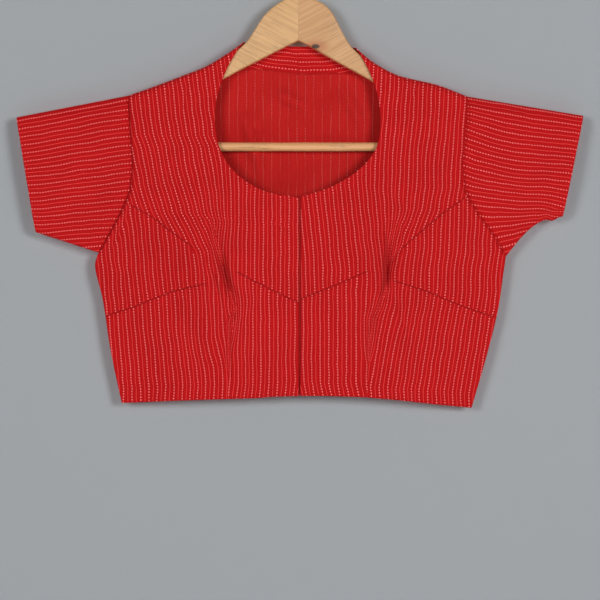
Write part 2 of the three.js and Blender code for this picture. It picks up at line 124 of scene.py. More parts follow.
# Creases of the fronts: from one place to another, how deep, and half how wide. A ridge has a negative depth.
CREASES = {
    "right": table(
        "start end depth half",
        ((96, -292), (76, -392), 5, 13),
        ((74, -398), (82, -470), 3.4, 14),
        ((118, -400), (104, -492), 3.4, 16),
        ((124, -155), (128.5, -188), 1.3, 2.8),
        ((94, -300), (92, -350), 2.2, 5),
        ((92, -332), (66, -402), 3.2, 6),
        ((97, -366), (80, -412), 2.4, 4.5),
        ((82, -346), (62, -398), -2.8, 4),
        ((87, -334), (72, -403), 9, 2.6),
        ((95, -340), (80, -404), -3.4, 3.6),
        ((75, -392), (66, -408), 3.2, 2),
        ((66, -403), (80, -424), 4.2, 2.2),
        ((78, -418), (76, -476), 3.4, 2.2),
        ((98, -300), (92, -328), 2.4, 2.2),
        ((102, -352), (84, -392), 1.7, 2.4),
        ((132, -302), (48, -309), 0.9, 2),
        ((52, -308), (2, -317), 0.8, 2),
        ((110, -330), (94, -372), -1.2, 3.4),
        ((96, -414), (88, -452), 1.2, 4),
        ((108, -376), (82, -436), 1.8, 8),
        ((118, -345), (100, -392), -1.2, 9),
        ((150, -360), (128, -452), 1.1, 15),
        ((40, -322), (34, -400), 0.9, 14),
        ((170, -196), (128, -262), 0.9, 13),
        ((206, -352), (186, -372), 1.3, 6),
        ((186, -288), (212, -340), 3, 3),
        ((60, -420), (54, -490), 0.8, 10),
    ),
    "left": table(
        "start end depth half",
        ((104, -290), (97, -386), 5, 13),
        ((94, -392), (78, -474), 3.2, 13),
        ((116, -380), (122, -470), 3.2, 16),
        ((123.5, -151), (126, -176), 1.2, 3),
        ((104, -252), (106, -298), 1.3, 6),
        ((107, -302), (102, -340), 2.4, 5),
        ((102, -334), (94, -394), 3.4, 6),
        ((92, -350), (84, -420), -1.6, 5),
        ((99.5, -326), (97, -394), 9, 2.6),
        ((92, -334), (90, -394), -3.2, 3.4),
        ((98, -364), (86, -416), 4.4, 2.1),
        ((89, -400), (76, -446), 2.8, 2.1),
        ((77, -436), (77, -496), 1.6, 2.2),
        ((112, -306), (116, -336), 1.8, 2.4),
        ((116, -330), (99, -358), 2.4, 2.2),
        ((95, -308), (100, -346), 2.2, 2.3),
        ((112, -404), (125, -440), 1.3, 4),
        ((101, -370), (122, -424), 2, 6.5),
        ((114, -352), (132, -408), -1.3, 8),
        ((150, -352), (146, -452), 1.1, 15),
        ((44, -320), (40, -410), 0.9, 14),
        ((168, -192), (138, -270), 0.8, 13),
        ((214, -352), (206, -392), 1.6, 4),
        ((222, -356), (217, -384), 1.2, 3),
        ((56, -420), (50, -486), 0.8, 10),
    ),
}
# How far the hem lies above the straight line from the front edge to the side seam, at places across.
HEM_RISE = {
    "right": dict(out=[0, 28, 45, 80, 140, 200], rise=[-2.2, -1.4, -2.2, -1.4, -0.4, 0]),
    "left": dict(out=[0, 30, 74, 113, 150, 200], rise=[-2.2, 0.2, 2.4, 2, 0.8, 0]),
}

BACK_CREASES = {
    "right": table(
        "start end depth half",
        ((64, -180), (36, -268), 6, 7),
        ((32, -160), (-14, -184), 6, 7),
        ((84, -505), (78, -372), 3, 15),
        ((36, -168), (64, -250), 1.5, 12),
        ((120, -230), (88, -330), 1.2, 18),
        ((150, -330), (120, -440), 1.2, 16),
        ((30, -300), (40, -420), 1.0, 18),
    ),
    "left": table(
        "start end depth half",
        ((42, -148), (74, -208), 6, 6.5),
        ((-32, -160), (14, -184), 6, 7),
        ((90, -508), (80, -390), 2.6, 17),
        ((24, -160), (72, -262), 1.7, 11),
        ((60, -152), (84, -214), 1.4, 9),
        ((128, -240), (96, -340), 1.2, 18),
        ((156, -350), (130, -450), 1.1, 15),
    ),
}

# How the cloth hangs round the bust. At each height: how many millimetres of cloth the fold holds between the
# centre and the armhole side (upper, above the armhole dart, and lower, below it), how far out the fold lies,
# half its width, and how far the stripes beside the centre front lean out (lean).
FALL = {
    "right": table(
        "z upper lower fold half lean",
        (-120, -21, 20, 35, 20, 0),
        (-154, -16.5, 21, 40, 20, 0),
        (-185, -13, 22, 40, 20, 0),
        (-213, -9, 24, 45, 20, 0),
        (-227, -4, 26, 60, 22, 0),
        (-267, 4, 29, 84, 22, 0),
        (-298, 13, 32, 92, 20, 0),
        (-320, 24, 34, 91, 14, 0),
        (-340, 33, 36, 89, 10, 0),
        (-368, 37, 38.5, 80, 8, 0),
        (-395, 39, 41, 71, 7, 0),
        (-412, 41, 42.5, 69, 7, 0),
        (-430, 43, 44, 73, 6, 0),
        (-455, 45, 46, 78, 3, 0),
        (-475, 47, 48, 78, 0.6, 0),
        (-515, 51, 51, 77, 0.6, 0),
    ),
    "left": table(
        "z upper lower fold half lean",
        (-120, -10, 10, 35, 20, 0),
        (-154, -7.5, 12, 40, 20, 0),
        (-185, -5.5, 14, 40, 20, 0),
        (-217, -3, 16, 60, 22, 0),
        (-245, -0.5, 17.5, 80, 22, 0),
        (-270, 0.5, 18.5, 98, 18, 0),
        (-295, 4.5, 19.5, 107, 14, 2.5),
        (-317, 12.5, 20.5, 105, 10, 5),
        (-340, 20, 21.5, 101, 8, 7),
        (-360, 24, 24, 98, 6, 8.5),
        (-384, 25, 25, 97, 6, 9),
        (-403, 27, 27, 88, 7, 9),
        (-415, 30, 30, 81, 7, 9),
        (-448, 35, 35, 78, 4, 9),
        (-467, 38, 38, 77, 0.6, 9),
        (-515, 46, 46, 76, 0.6, 9),
    ),
}
MOST_GATHER = 20.0  # the cloth that a fold shows as close stripes; the rest lies out of sight inside it

# Places where the cloth buckles in its own plane.
SWAYS = {
    "right": table(
        "out z wide tall push",
        (104, -432, 26, 22, 3.6),
        (90, -309, 12, 11, -2.6),
        (86, -468, 16, 16, -2.2),
        (58, -396, 12, 14, -2),
        (140, -250, 22, 20, 1.2),
    ),
    "left": table(
        "out z wide tall push",
        (118, -420, 18, 20, 2.4),
        (92, -322, 10, 12, -2),
        (112, -300, 12, 14, 1.8),
        (140, -240, 22, 20, -1.2),
        (66, -350, 16, 22, 1.4),
    ),
}

# Darts of the fronts, as lines of places from the panel's edge to the bust.
DARTS = {
    "right": dict(
        centre=[(1, -397), (10, -393.5), (55.6, -370.6), (67.5, -363.7)],
        armhole=[(185, -290), (161, -304), (140.6, -319.5), (116.8, -336.6)],
        side=[(215, -412.5), (183, -402.8), (140.6, -385.8), (103.2, -377.2)],
        waist=[(77.2, -505), (75.5, -460), (74, -436)],
    ),
    "left": dict(
        centre=[(3.5, -393.5), (43.8, -377.2), (74.6, -363.7)],
        armhole=[(183.4, -282.2), (159.3, -299.2), (129, -324.7), (115.4, -336.6)],
        side=[(217, -413.9), (180, -401.1), (142.6, -385.8), (105.2, -373.9)],
        waist=[(76, -505), (78, -457), (81, -432), (86.5, -406)],
    ),
}

# The waist darts of the back, which show as lines when seen from behind.
BACK_DARTS = {"right": [(81, -505), (78, -372)], "left": [(82, -507), (80, -375)]}

HEM = 17.0  # depth of the turned-up hem at the waist
HEM_SLANT = {"right": 0.1, "left": 0.22}  # how far the stripes lean out on the turn-up
CUFF_HEM = 10.0
STRIPE_PITCH = 9.4  # from one dashed stripe to the next, with a plain one half way between
DASH_PITCH = 3.05  # from one dash to the next, along a stripe
# Where the stripes start from the centre front: above the bust, and below the centre dart.
STRIPE_START = {"right": dict(above=1.0, below=4.0), "left": dict(above=9.1, below=5.4)}

HANGER = {
    "right": [
        (0.0, -55, -107.5), (7, -57, -110.6), (13, -60.5, -113.6), (20, -64, -117), (26, -68, -120),
        (32, -73, -123.2), (38, -79, -126.3), (42, -84.5, -128.4), (46, -91, -130.4), (51, -99.5, -133),
        (57, -108.5, -136), (66, -116, -140.6), (76.8, -123.2, -146.5), (101.8, -138.4, -159.6),
        (122.7, -147, -170.4), (146, -156, -184), (158, -160.5, -206), (166, -163.5, -232),
        (174, -167, -237), (184, -172, -236), (192, -182, -229),
    ],
    "left": [
        (0.0, -55, -107.5), (7, -56.6, -111), (14, -60.5, -114.9), (21, -62.6, -118.6),
        (27, -66, -122.2), (33, -70.4, -125.4), (37.8, -76.5, -128.3), (42, -84, -130.6),
        (46, -93, -132.8), (52, -104, -136.2), (58, -114, -139.5), (70, -124.4, -146),
        (82.3, -133.8, -152.9), (107.8, -147.8, -167), (122.5, -152.1, -175.2), (146, -158, -188),
        (158, -161.5, -208), (166, -164.5, -232), (174, -167.5, -237), (184, -172.5, -236),
        (192, -182, -229),
    ],
}
WOOD = 12.0  # thickness of the hanger's arms
WOOD_ROUND = 3.0  # radius of their edges


# ---- curves and soft shapes ----
def curve_through(rows):
    """A smooth curve through rows of out, z and deep, by share of its length, as arrays of (out, deep, z)."""
    points = np.array([(row[0], row[2] if len(row) > 2 else 0.0, row[1]) for row in rows], float)
    points = np.vstack([2 * points[0] - points[1], points, 2 * points[-1] - points[-2]])
    gaps = np.sqrt(np.linalg.norm(np.diff(points, axis=0), axis=1))
    samples = []
    s = np.linspace(0, 1, 25)[:, None]
    for k in range(1, len(points) - 2):
        p0, p1, p2, p3 = points[k - 1 : k + 3]
        d0, d1, d2 = gaps[k - 1 : k + 2]
        m1 = ((p1 - p0) / d0 - (p2 - p0) / (d0 + d1) + (p2 - p1) / d1) * d1
        m2 = ((p2 - p1) / d1 - (p3 - p1) / (d1 + d2) + (p3 - p2) / d2) * d1
        span = (2 * s**3 - 3 * s**2 + 1) * p1 + (s**3 - 2 * s**2 + s) * m1
        span = span + (3 * s**2 - 2 * s**3) * p2 + (s**3 - s**2) * m2
        samples.append(span if k == 1 else span[1:])
    line = np.vstack(samples)
    length = np.concatenate([[0], np.cumsum(np.linalg.norm(np.diff(line, axis=0), axis=1))])
    length /= length[-1]

    def at(share):
        share = np.clip(np.asarray(share, float), 0, 1)
        return np.stack([np.interp(share, length, line[:, axis]) for axis in range(3)], axis=-1)

    return at


def end_to_end(first, second, share):
    def at(t):
        t = np.asarray(t, float)
        early = (t < share)[..., None]
        return np.where(early, first(t / share), second((t - share) / (1 - share)))

    return at


def mix(a, b, share):
    return a + (b - a) * share


def smooth(x, low, high):
    x = np.clip((x - low) / (high - low), 0, 1)
    return x * x * (3 - 2 * x)


def bell(x):
    """1 at 0, falling softly to either side."""
    return np.exp(-(x**2))


def crease_depth(crease, out, z):
    start = np.array(crease.start, float)
    along = np.array(crease.end, float) - start
    place_out = out - start[0]
    place_z = z - start[1]
    share = np.clip((place_out * along[0] + place_z * along[1]) / (along @ along), 0, 1)
    off = np.hypot(place_out - share * along[0], place_z - share * along[1]) / crease.half
    fade = np.sin(np.pi * np.clip(share, 0.08, 0.92))
    return crease.depth * fade * bell(off)


def creases_depth(creases, out, z):
    return sum(crease_depth(crease, out, z) for crease in creases)


def distance_to_line(line, out, z):
    """Distance from each place to a broken line."""
    best = np.full(np.shape(out), 1e9)
    for (x0, z0), (x1, z1) in zip(line, line[1:]):
        dx, dz = x1 - x0, z1 - z0
        share = np.clip(((out - x0) * dx + (z - z0) * dz) / (dx * dx + dz * dz), 0, 1)
        best = np.minimum(best, np.hypot(out - x0 - share * dx, z - z0 - share * dz))
    return best


def ripple(x, z, seed, wave=46.0):
    """Soft unevenness between about -1 and 1, from a few crossing waves."""
    draw = np.random.default_rng(seed)
    total = 0
    for k in range(7):
        angle = draw.uniform(0, math.pi)
        length = wave * draw.uniform(0.6, 1.5)
        phase = draw.uniform(0, 2 * math.pi)
        total = total + np.sin((x * math.cos(angle) + z * math.sin(angle)) * 2 * math.pi / length + phase)
    return total / 4.2


# ---- the shape of the cloth ----
def make_half(name):
    rows = HALVES[name]
    ridge = curve_through(rows["ridge"])
    free_start = ridge(0.0)
    notch = ridge(NOTCH)
    free_z, seam_z = rows["collar"]["free_z"], rows["collar"]["seam_z"]
    free = curve_through(
        [
            (free_start[0], free_start[2], 0),
            (free_start[0] + 0.6, free_start[2] - 0.4, 5),
            (free_start[0] - 4, mix(free_start[2], free_z, 0.5), 8.6),
            (free_start[0] * 0.75, free_z, 9.6),
            (free_start[0] * 0.45, mix(free_z, COLLAR_TOP_Z, 0.6), 10.2),
            (GAP / 2, COLLAR_TOP_Z, COLLAR_DEEP),
        ]
    )
    seam = curve_through(
        [
            (notch[0], notch[2], 0),
            (notch[0] - 1, notch[2] + 0.2, 5),
            (notch[0] - 8, mix(notch[2], seam_z, 0.3), 8.6),
            (notch[0] * 0.68, mix(notch[2], seam_z, 0.8), 9.6),
            (notch[0] * 0.36, seam_z, 10.2),
            (GAP / 2, COLLAR_SEAM_Z, COLLAR_DEEP),
        ]
    )
    return dict(
        rows,
        name=name,
        ridge=ridge,
        free=free,
        seam=seam,
        inner=end_to_end(curve_through(rows["neck"]), curve_through(rows["front_edge"]), NECK_SHARE),
        outer=end_to_end(curve_through(rows["armhole"]), curve_through(rows["side"]), ARMHOLE_SHARE),
    )


HALF = {name: make_half(name) for name in HALVES}
back_middle = curve_through(BACK_MIDDLE)


def shoulder_fade(t):
    return np.maximum(0, 1 - t / 0.3) ** 2


def grid(u, t):
    return np.meshgrid(np.asarray(u, float), np.asarray(t, float))


def front_points(half, u, t, fine=True):
    """A front's points on a grid of u, from the neckline or front edge to the side, by t, down the panel."""
    U, T = grid(u, t)
    inner = half["inner"](t)[:, None, :]
    outer = half["outer"](t)[:, None, :]
    straight = mix(half["ridge"](0.0), half["ridge"](1.0), np.asarray(u, float)[:, None])
    curved = (half["ridge"](u) - straight)[None, :, :] * shoulder_fade(T)[..., None]
    out = mix(inner[..., 0], outer[..., 0], U) + curved[..., 0]
    z = mix(inner[..., 2], outer[..., 2], U) + curved[..., 2]
    near_side = np.minimum(1, (1 - U) * 6)
    cup = CUP["forward"] * bell((out - CUP["out"]) / CUP["wide"]) * bell((z - CUP["z"]) / CUP["tall"])
    relief = (cup - creases_depth(CREASES[half["name"]], out, z)) * near_side
    deep = mix(outer[..., 1], inner[..., 1], 1 - U**LENS) + relief
    if fine:
        deep = deep + front_detail(half, out, z, U, T)
    z = z + hem_rise(half, out, T)
    return np.stack([half["sign"] * out, -deep, z], axis=-1)


def hem_rise(half, out, T):
    rises = HEM_RISE[half["name"]]
    return np.interp(out, rises["out"], rises["rise"]) * smooth(T, 0.8, 1)


def turned_up_hem(above_hem):
    """A hem's second layer, with the dip of its line of stitches."""
    return 0.35 * smooth(HEM + 1.5 - above_hem, 0, 3) - 0.3 * bell((above_hem - HEM) / 1.6)


def front_detail(half, out, z, U, T):
    """The hem's turn-up, the darts' seams, the rolled edges, and the slight unevenness of hanging cotton."""
    seed = 3 if half["sign"] > 0 else 8
    hem_z = half["inner"](1.0)[2] + (half["outer"](1.0)[2] - half["inner"](1.0)[2]) * U
    above_hem = z - hem_z
    bottom = -1.4 * bell(above_hem / 1.3) * (T > 0.5)
    to_darts = [distance_to_line(line, out, z) for line in DARTS[half["name"]].values()]
    seams = sum(0.3 * bell((away - 5) / 3.2) - 0.55 * bell(away / 1.7) for away in to_darts)
    inside = smooth(np.minimum(U, 1 - U), 0.0, 0.05)
    uneven = (1.0 * ripple(out, z, seed) + 0.36 * ripple(out, z, seed + 1, 17)) * inside
    pucker = 0.14 * np.sin(out / 2.6 + 1.2 * np.sin(out / 9)) * bell((above_hem - HEM) / 4)
    width = np.linalg.norm(half["outer"](T[:, 0]) - half["inner"](T[:, 0]), axis=-1)[:, None]
    roll = -2.4 * bell((1 - U) * width / 2.2) * (T < ARMHOLE_SHARE)
    to_edge = U * width
    neck_edge = 0.3 * (smooth(to_edge, 0, 1.2) - smooth(to_edge, 8, 10)) - 0.25 * bell((to_edge - 9) / 1.2)
    return bottom + turned_up_hem(above_hem) + seams + uneven + pucker + roll + neck_edge * (T < NECK_SHARE)


def bend_rows(half, top, hanging, start, turn):
    """Rows of cloth round the hanger's arm, from the top edge to the hanging panel's first row."""
    rows = []
    for share_of_turn in turn:
        angle = mix(start, math.pi / 2, share_of_turn)
        share = 1 - np.cos(angle) / np.cos(start)
        out = mix(top[:, 0], half["sign"] * hanging[:, 0], share)
        z = mix(top[:, 2], hanging[:, 2], share)
        rows.append(np.stack([half["sign"] * out, hanging[:, 1] * np.sin(angle), z], axis=-1))
    return np.array(rows)


def front_bend(half, u, turn):
    u = np.asarray(u, float)
    hanging = front_points(half, u, np.array([0.0]))[0]
    return bend_rows(half, half["ridge"](u), hanging, 0.0, turn)


def collar_points(half, w, v):
    W, V = grid(w, v)
    free = half["free"](v)[:, None, :]
    seam = half["seam"](v)[:, None, :]
    w = np.asarray(w, float)
    straight = mix(half["free"](0.0), half["seam"](0.0), w[:, None])
    curved = (half["ridge"](w * NOTCH) - straight)[None, :, :]
    place = mix(free, seam, W[..., None]) + curved * ((1 - V) ** 3)[..., None]
    place[..., 0] *= half["sign"]
    return place


def back_top(half, u):
    """The back's top edge: below the collar's seam from the centre, then along the shoulder seam."""
    u = np.asarray(u, float)
    below = half["seam"](np.clip(1 - u / BACK_NOTCH, 0, 1) ** 1.5)
    below = below + np.array([GAP * 2, 0, -GAP * 2]) * (u > 0)[:, None]
    shoulder = half["ridge"](mix(NOTCH, 1, np.clip((u - BACK_NOTCH) / (1 - BACK_NOTCH), 0, 1)))
    top = np.where((u <= BACK_NOTCH)[:, None], below, shoulder)
    top[u <= 0, 0] = 0
    return top


def back_points(half, u, t):
    U, T = grid(u, t)
    middle = back_middle(t)[:, None, :]
    outer = half["outer"](t)[:, None, :]
    top = back_top(half, u)[None, :, :]
    fade = shoulder_fade(T)
    straight = mix(back_middle(0.0)[2], half["outer"](0.0)[2], U)
    z = mix(middle[..., 2], outer[..., 2], U) + (top[..., 2] - RIDGE_R - straight) * fade
    out = mix(outer[..., 0] * U, np.minimum(top[..., 0], outer[..., 0]), fade)
    near_side = np.minimum(1, (1 - U) * 6)
    deep = mix(outer[..., 1], middle[..., 1], 1 - U**LENS)
    deep = deep - creases_depth(BACK_CREASES[half["name"]], out, z) * near_side
    above_hem = z - mix(back_middle(1.0)[2], half["outer"](1.0)[2], U)
    inside = smooth(1 - U, 0.0, 0.05)
    x = half["sign"] * out
    uneven = 1.0 * ripple(x, z, 21) + 0.14 * ripple(x, z, 22, 15)
    roll = -1.1 * bell((1 - U) * outer[..., 0] / 1.6) * (T < ARMHOLE_SHARE)
    seam = -0.55 * bell(distance_to_line(BACK_DARTS[half["name"]], out, z) / 1.7)
    deep = deep + turned_up_hem(above_hem) + uneven * inside + roll + seam
    z = z + (hem_rise(half, out, T) + 1.2 * smooth(T, 0.9, 1)) * inside
    return np.stack([x, deep, z], axis=-1)


def back_bend(half, u, turn):
    top = back_top(half, u)
    hanging = back_points(half, u, np.array([0.0]))[0]
    start = np.arcsin(np.clip(np.maximum(2 * GAP, top[:, 1]) / hanging[:, 1], 0, 0.98))
    return bend_rows(half, top, hanging, start, turn)


# ---- how the stripes lie on the cloth ----
def fall(name, column, z):
    rows = sorted(FALL[name])
    return np.interp(z, [row.z for row in rows], [getattr(row, column) for row in rows])


def above_line(line, out, z):
    """Whether a place lies above a dart's line, or above its level run-on past either end."""
    line = sorted(line)
    level = np.interp(out, [p[0] for p in line], [p[1] for p in line])
    return z > level


def stripes_on_front(half, out, z, centre_out, centre_z):
    """How far across the cloth's stripes each corner of a cell lies. Its centre says which side it is on."""
    name = half["name"]
    darts = DARTS[name]
    start = STRIPE_START[name]
    over_armhole = above_line(darts["armhole"], centre_out, centre_z)
    over_centre = above_line(darts["centre"], centre_out, centre_z)
    over_side = above_line(darts["side"], centre_out, centre_z)
    tip_out, tip_z = darts["armhole"][-1]
    past_tip = smooth(centre_out, tip_out - 22, tip_out) * smooth(tip_z - centre_z, -2, 12)
    under_armhole = np.where(centre_out > tip_out, ~over_armhole, past_tip)
    held = mix(fall(name, "upper", z), fall(name, "lower", z), under_armhole)
    gathered = np.minimum(held, MOST_GATHER)
    beyond = centre_out > fall(name, "fold", centre_z)
    step = 0.5 + 0.5 * np.tanh((out - fall(name, "fold", z)) / fall(name, "half", z))
    sharp = fall(name, "half", centre_z) < 1
    step = np.where(sharp, beyond * 1.0, step)
    lean = -fall(name, "lean", z) * over_centre
    across = out + mix(lean, gathered, step) + (held - gathered) * beyond
    centre_tip = darts["centre"][-1][0]
    near_tip = smooth(out, centre_tip - 26, centre_tip + 4)
    under = mix(start["below"], start["above"], near_tip)
    across = across - np.where(beyond | over_centre, start["above"], under)
    across = across + squeeze_at_creases(CREASES[name], out, z) - sway(name, out, z)
    hem_z = mix(half["inner"](1.0)[2], half["outer"](1.0)[2], out / half["outer"](1.0)[0])
    across = across - HEM_SLANT[name] * np.clip(HEM - 2 - (z - hem_z), 0, HEM)
    side_tip = darts["side"][-1][0]
    return across + 2.3 * (~over_side & beyond) * smooth(out, side_tip, side_tip + 30)


def squeeze_at_creases(creases, out, z):
    """How the stripes draw together at the narrow creases, which take in cloth."""
    total = 0
    for crease in creases:
        if crease.half > 8 or crease.depth < 0:
            continue
        start = np.array(crease.start, float)
        along = np.array(crease.end, float) - start
        length = np.linalg.norm(along)
        along = along / length
        share = np.clip(((out - start[0]) * along[0] + (z - start[1]) * along[1]) / length, -0.2, 1.2)
        side = (out - start[0]) * along[1] - (z - start[1]) * along[0]
        side = -side / crease.half
        fade = np.sin(np.pi * np.clip(share, 0, 1))
        drawn_in = min(0.85 * crease.depth, 0.8 * crease.half)
        total = total + drawn_in * fade * side * np.exp(-(side**2) / 2)
    return total


def sway(name, out, z):
    """How far the stripes are pushed out where the cloth buckles."""
    total = 0
    for place in SWAYS[name]:
        total = total + place.push * bell((out - place.out) / place.wide) * bell((z - place.z) / place.tall)
    return total


# ---- meshes ----
def add_piece(name, vertices, faces, materials):
    mesh = bpy.data.meshes.new(name)
    mesh.from_pydata((np.array(vertices) * MM).tolist(), [], faces)
    for material in materials:
        mesh.materials.append(material)
    mesh.shade_smooth()
    piece = bpy.data.objects.new(name, mesh)
    scene.collection.objects.link(piece)
    return piece


def stand_for(piece, node):
    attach(piece, "root")
    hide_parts(node)
    return piece


def unit(vectors):
    return vectors / np.maximum(np.linalg.norm(vectors, axis=-1, keepdims=True), 1e-9)


def shell(name, points, cloth_at, materials, has=None, ring=False, thickness=CLOTH, rim=RIM, turned=False):
    """A thin closed skin of cloth round a grid of points, with rounded edges.

    cloth_at gives, for the corners of the kept cells, how far across and along the stripes they lie.
    materials are the outer and the inner face's. turned swaps which face of the grid is the outer one.
    """
    rows, columns = points.shape[:2]
    flat = points.reshape(-1, 3)
    j, i = np.meshgrid(np.arange(rows - 1), np.arange(columns if ring else columns - 1), indexing="ij")
    keep = np.ones_like(j, bool) if has is None else has(j, i)
    j, i = np.nonzero(keep)
    following = (i + 1) % columns
    upper, lower = j * columns, (j + 1) * columns
    corners = np.stack([upper + i, upper + following, lower + following, lower + i], -1)
    if turned:
        corners = corners[:, ::-1]
    a, b, c, d = (flat[corners[:, k]] for k in range(4))
    face_normal = unit(np.cross(c - a, d - b))
    normal = np.zeros_like(flat)
    for k in range(4):
        np.add.at(normal, corners[:, k], face_normal)
    normal = unit(normal)

    padded = np.zeros((rows + 1, keep.shape[1] + 2), bool)
    padded[1:-1, 1:-1] = keep
    if ring:
        padded[1:-1, 0] = keep[:, -1]
        padded[1:-1, -1] = keep[:, 0]
    around = [padded[j, i + 1], padded[j + 1, i + 2], padded[j + 2, i + 1], padded[j + 1, i]]
    free = ~np.stack(around, -1)
    if turned:
        free = free[:, [2, 1, 0, 3]]
    cell, side = np.nonzero(free)
    start = corners[cell, side]
    end = corners[cell, (side + 1) % 4]
    tangent = flat[end] - flat[start]
    outward = unit(np.cross(tangent, face_normal[cell]))
    away = np.zeros_like(flat)
    np.add.at(away, start, outward)
    np.add.at(away, end, outward)
    away = unit(away)

    count = len(flat)
    vertices = np.vstack([flat + normal * thickness / 2, flat - normal * thickness / 2, flat + away * rim])
    faces = np.vstack(
        [
            corners,
            corners[:, ::-1] + count,
            np.stack([end, start, start + 2 * count, end + 2 * count], -1),
            np.stack([end + 2 * count, start + 2 * count, start + count, end + count], -1),
        ]
    )
    used = np.unique(faces)
    place = np.full(3 * count, -1)
    place[used] = np.arange(len(used))
    across, along = cloth_at(corners)
    edge = (cell[:, None], np.stack([(side + 1) % 4, side, side, (side + 1) % 4], -1))
    uv = [
        np.concatenate([value, value[:, ::-1], value[edge], value[edge]]).ravel() for value in (across, along)
    ]
    face_kinds = np.repeat([0, 1, 0, 1], [len(corners), len(corners), len(cell), len(cell)])

    piece = add_piece(name, vertices[used], place[faces].tolist(), materials)
    mesh = piece.data
    uv_map = mesh.uv_layers.new(name="cloth")
    uv_map.data.foreach_set("uv", (np.stack(uv, -1) * MM).astype(np.float32).ravel())
    if len(materials) > 1:
        mesh.polygons.foreach_set("material_index", face_kinds.astype(np.int32))
    mesh.validate()
    return piece


def finish_cloth(piece, node):
    stand_for(piece, node)


# ---- materials ----
class Value:
    """A value that varies over a surface. Sums with it add Math nodes to its material."""

    def __init__(self, nodes, socket):
        self.nodes = nodes
        self.socket = socket

    def __add__(self, other):
        return self.nodes.math("ADD", self, other)

    def __sub__(self, other):
        return self.nodes.math("SUBTRACT", self, other)

    def __rsub__(self, other):
        return self.nodes.math("SUBTRACT", other, self)

    def __mul__(self, other):
        return self.nodes.math("MULTIPLY", self, other)

    __radd__ = __add__


class Nodes:
    """A material's node tree, with short calls for the nodes that patterns need."""

    def __init__(self, name):
        self.material = bpy.data.materials.new(name)
        self.material.use_nodes = True
        self.tree = self.material.node_tree
        self.shader = self.tree.nodes["Principled BSDF"]

    def add(self, kind, output, inputs=None, **settings):
        """A new node's output, with its inputs linked or set by name or number."""
        node = self.tree.nodes.new(kind)
        for key, value in settings.items():
            setattr(node, key, value)
        for key, value in (inputs or {}).items():
            self.link(value, node.inputs[key])
        return Value(self, node.outputs[output])

    def link(self, value, socket):
        if isinstance(value, Value):
            self.tree.links.new(value.socket, socket)
        else:
            socket.default_value = value

    def math(self, operation, *values):
        return self.add("ShaderNodeMath", 0, dict(enumerate(values)), operation=operation)

    def band(self, value, low, high):
        """0 at low and below, 1 at high and above, smooth between; low may be the larger."""
        inputs = {"Value": value, "From Min": low, "From Max": high}
        return self.add("ShaderNodeMapRange", "Result", inputs, interpolation_type="SMOOTHSTEP", clamp=True)

    def colour(self, share, first, second):
        inputs = {"Factor": share, "A": first, "B": second}
        return self.add("ShaderNodeMix", "Result", inputs, data_type="RGBA", clamp_factor=True)

    def noise(self, vector, scale, detail=2.0, roughness=0.5):
        inputs = {"Vector": vector, "Scale": scale, "Detail": detail, "Roughness": roughness}
        return self.add("ShaderNodeTexNoise", "Fac", inputs)

    def mapped(self, vector, **inputs):
        return self.add("ShaderNodeMapping", 0, {"Vector": vector, **inputs})

    def place(self):
        return self.add("ShaderNodeTexCoord", "Object")

    def millimetres(self, vector, *axes):
        return [self.add("ShaderNodeSeparateXYZ", axis, {0: vector}) * (1 / MM) for axis in axes]

    def bump(self, height, strength, distance):
        inputs = {"Strength": strength, "Distance": distance, "Height": height}
        return self.add("ShaderNodeBump", "Normal", inputs)

    def finish(self, base, roughness, settings, normal=None):
        """Link what varies, and set what is the same all over on the shader's own sockets."""
        inputs = {"Base Color": base, "Roughness": roughness, **settings}
        if normal is not None:
            inputs["Normal"] = normal
        for key, value in inputs.items():
            self.link(value, self.shader.inputs[key])
        return self.material


def srgb(red, green, blue):
    """A colour given as on a screen, from 0 to 255, as the shader's own linear values."""
    shown = [value / 255 for value in (red, green, blue)]
    linear = [value / 12.92 if value <= 0.04045 else ((value + 0.055) / 1.055) ** 2.4 for value in shown]
    return (*linear, 1.0)


def seam_shade_mask(nodes, seams):
    """Painted seam shade: up to 1 on the seams, each a sign, a line in the front's own plane and a strength,
    and 0 off them.
    """
    x, z = nodes.millimetres(nodes.place(), "X", "Z")
    total = None
    for sign, line, strength in seams:
        for (x0, z0), (x1, z1) in zip(line, line[1:]):
            dx, dz = sign * (x1 - x0), z1 - z0
            squared = dx * dx + dz * dz
            from_x, from_z = x - sign * x0, z - z0
            share = nodes.math("MAXIMUM", from_x * (dx / squared) + from_z * (dz / squared), 0.0)
            share = nodes.math("MINIMUM", share, 1.0)
            off_x, off_z = from_x - share * dx, from_z - share * dz
            away = nodes.math("SQRT", off_x * off_x + off_z * off_z)
            near = nodes.band(away, 0.9, 0.35) * strength
            total = near if total is None else nodes.math("MAXIMUM", total, near)
    return total


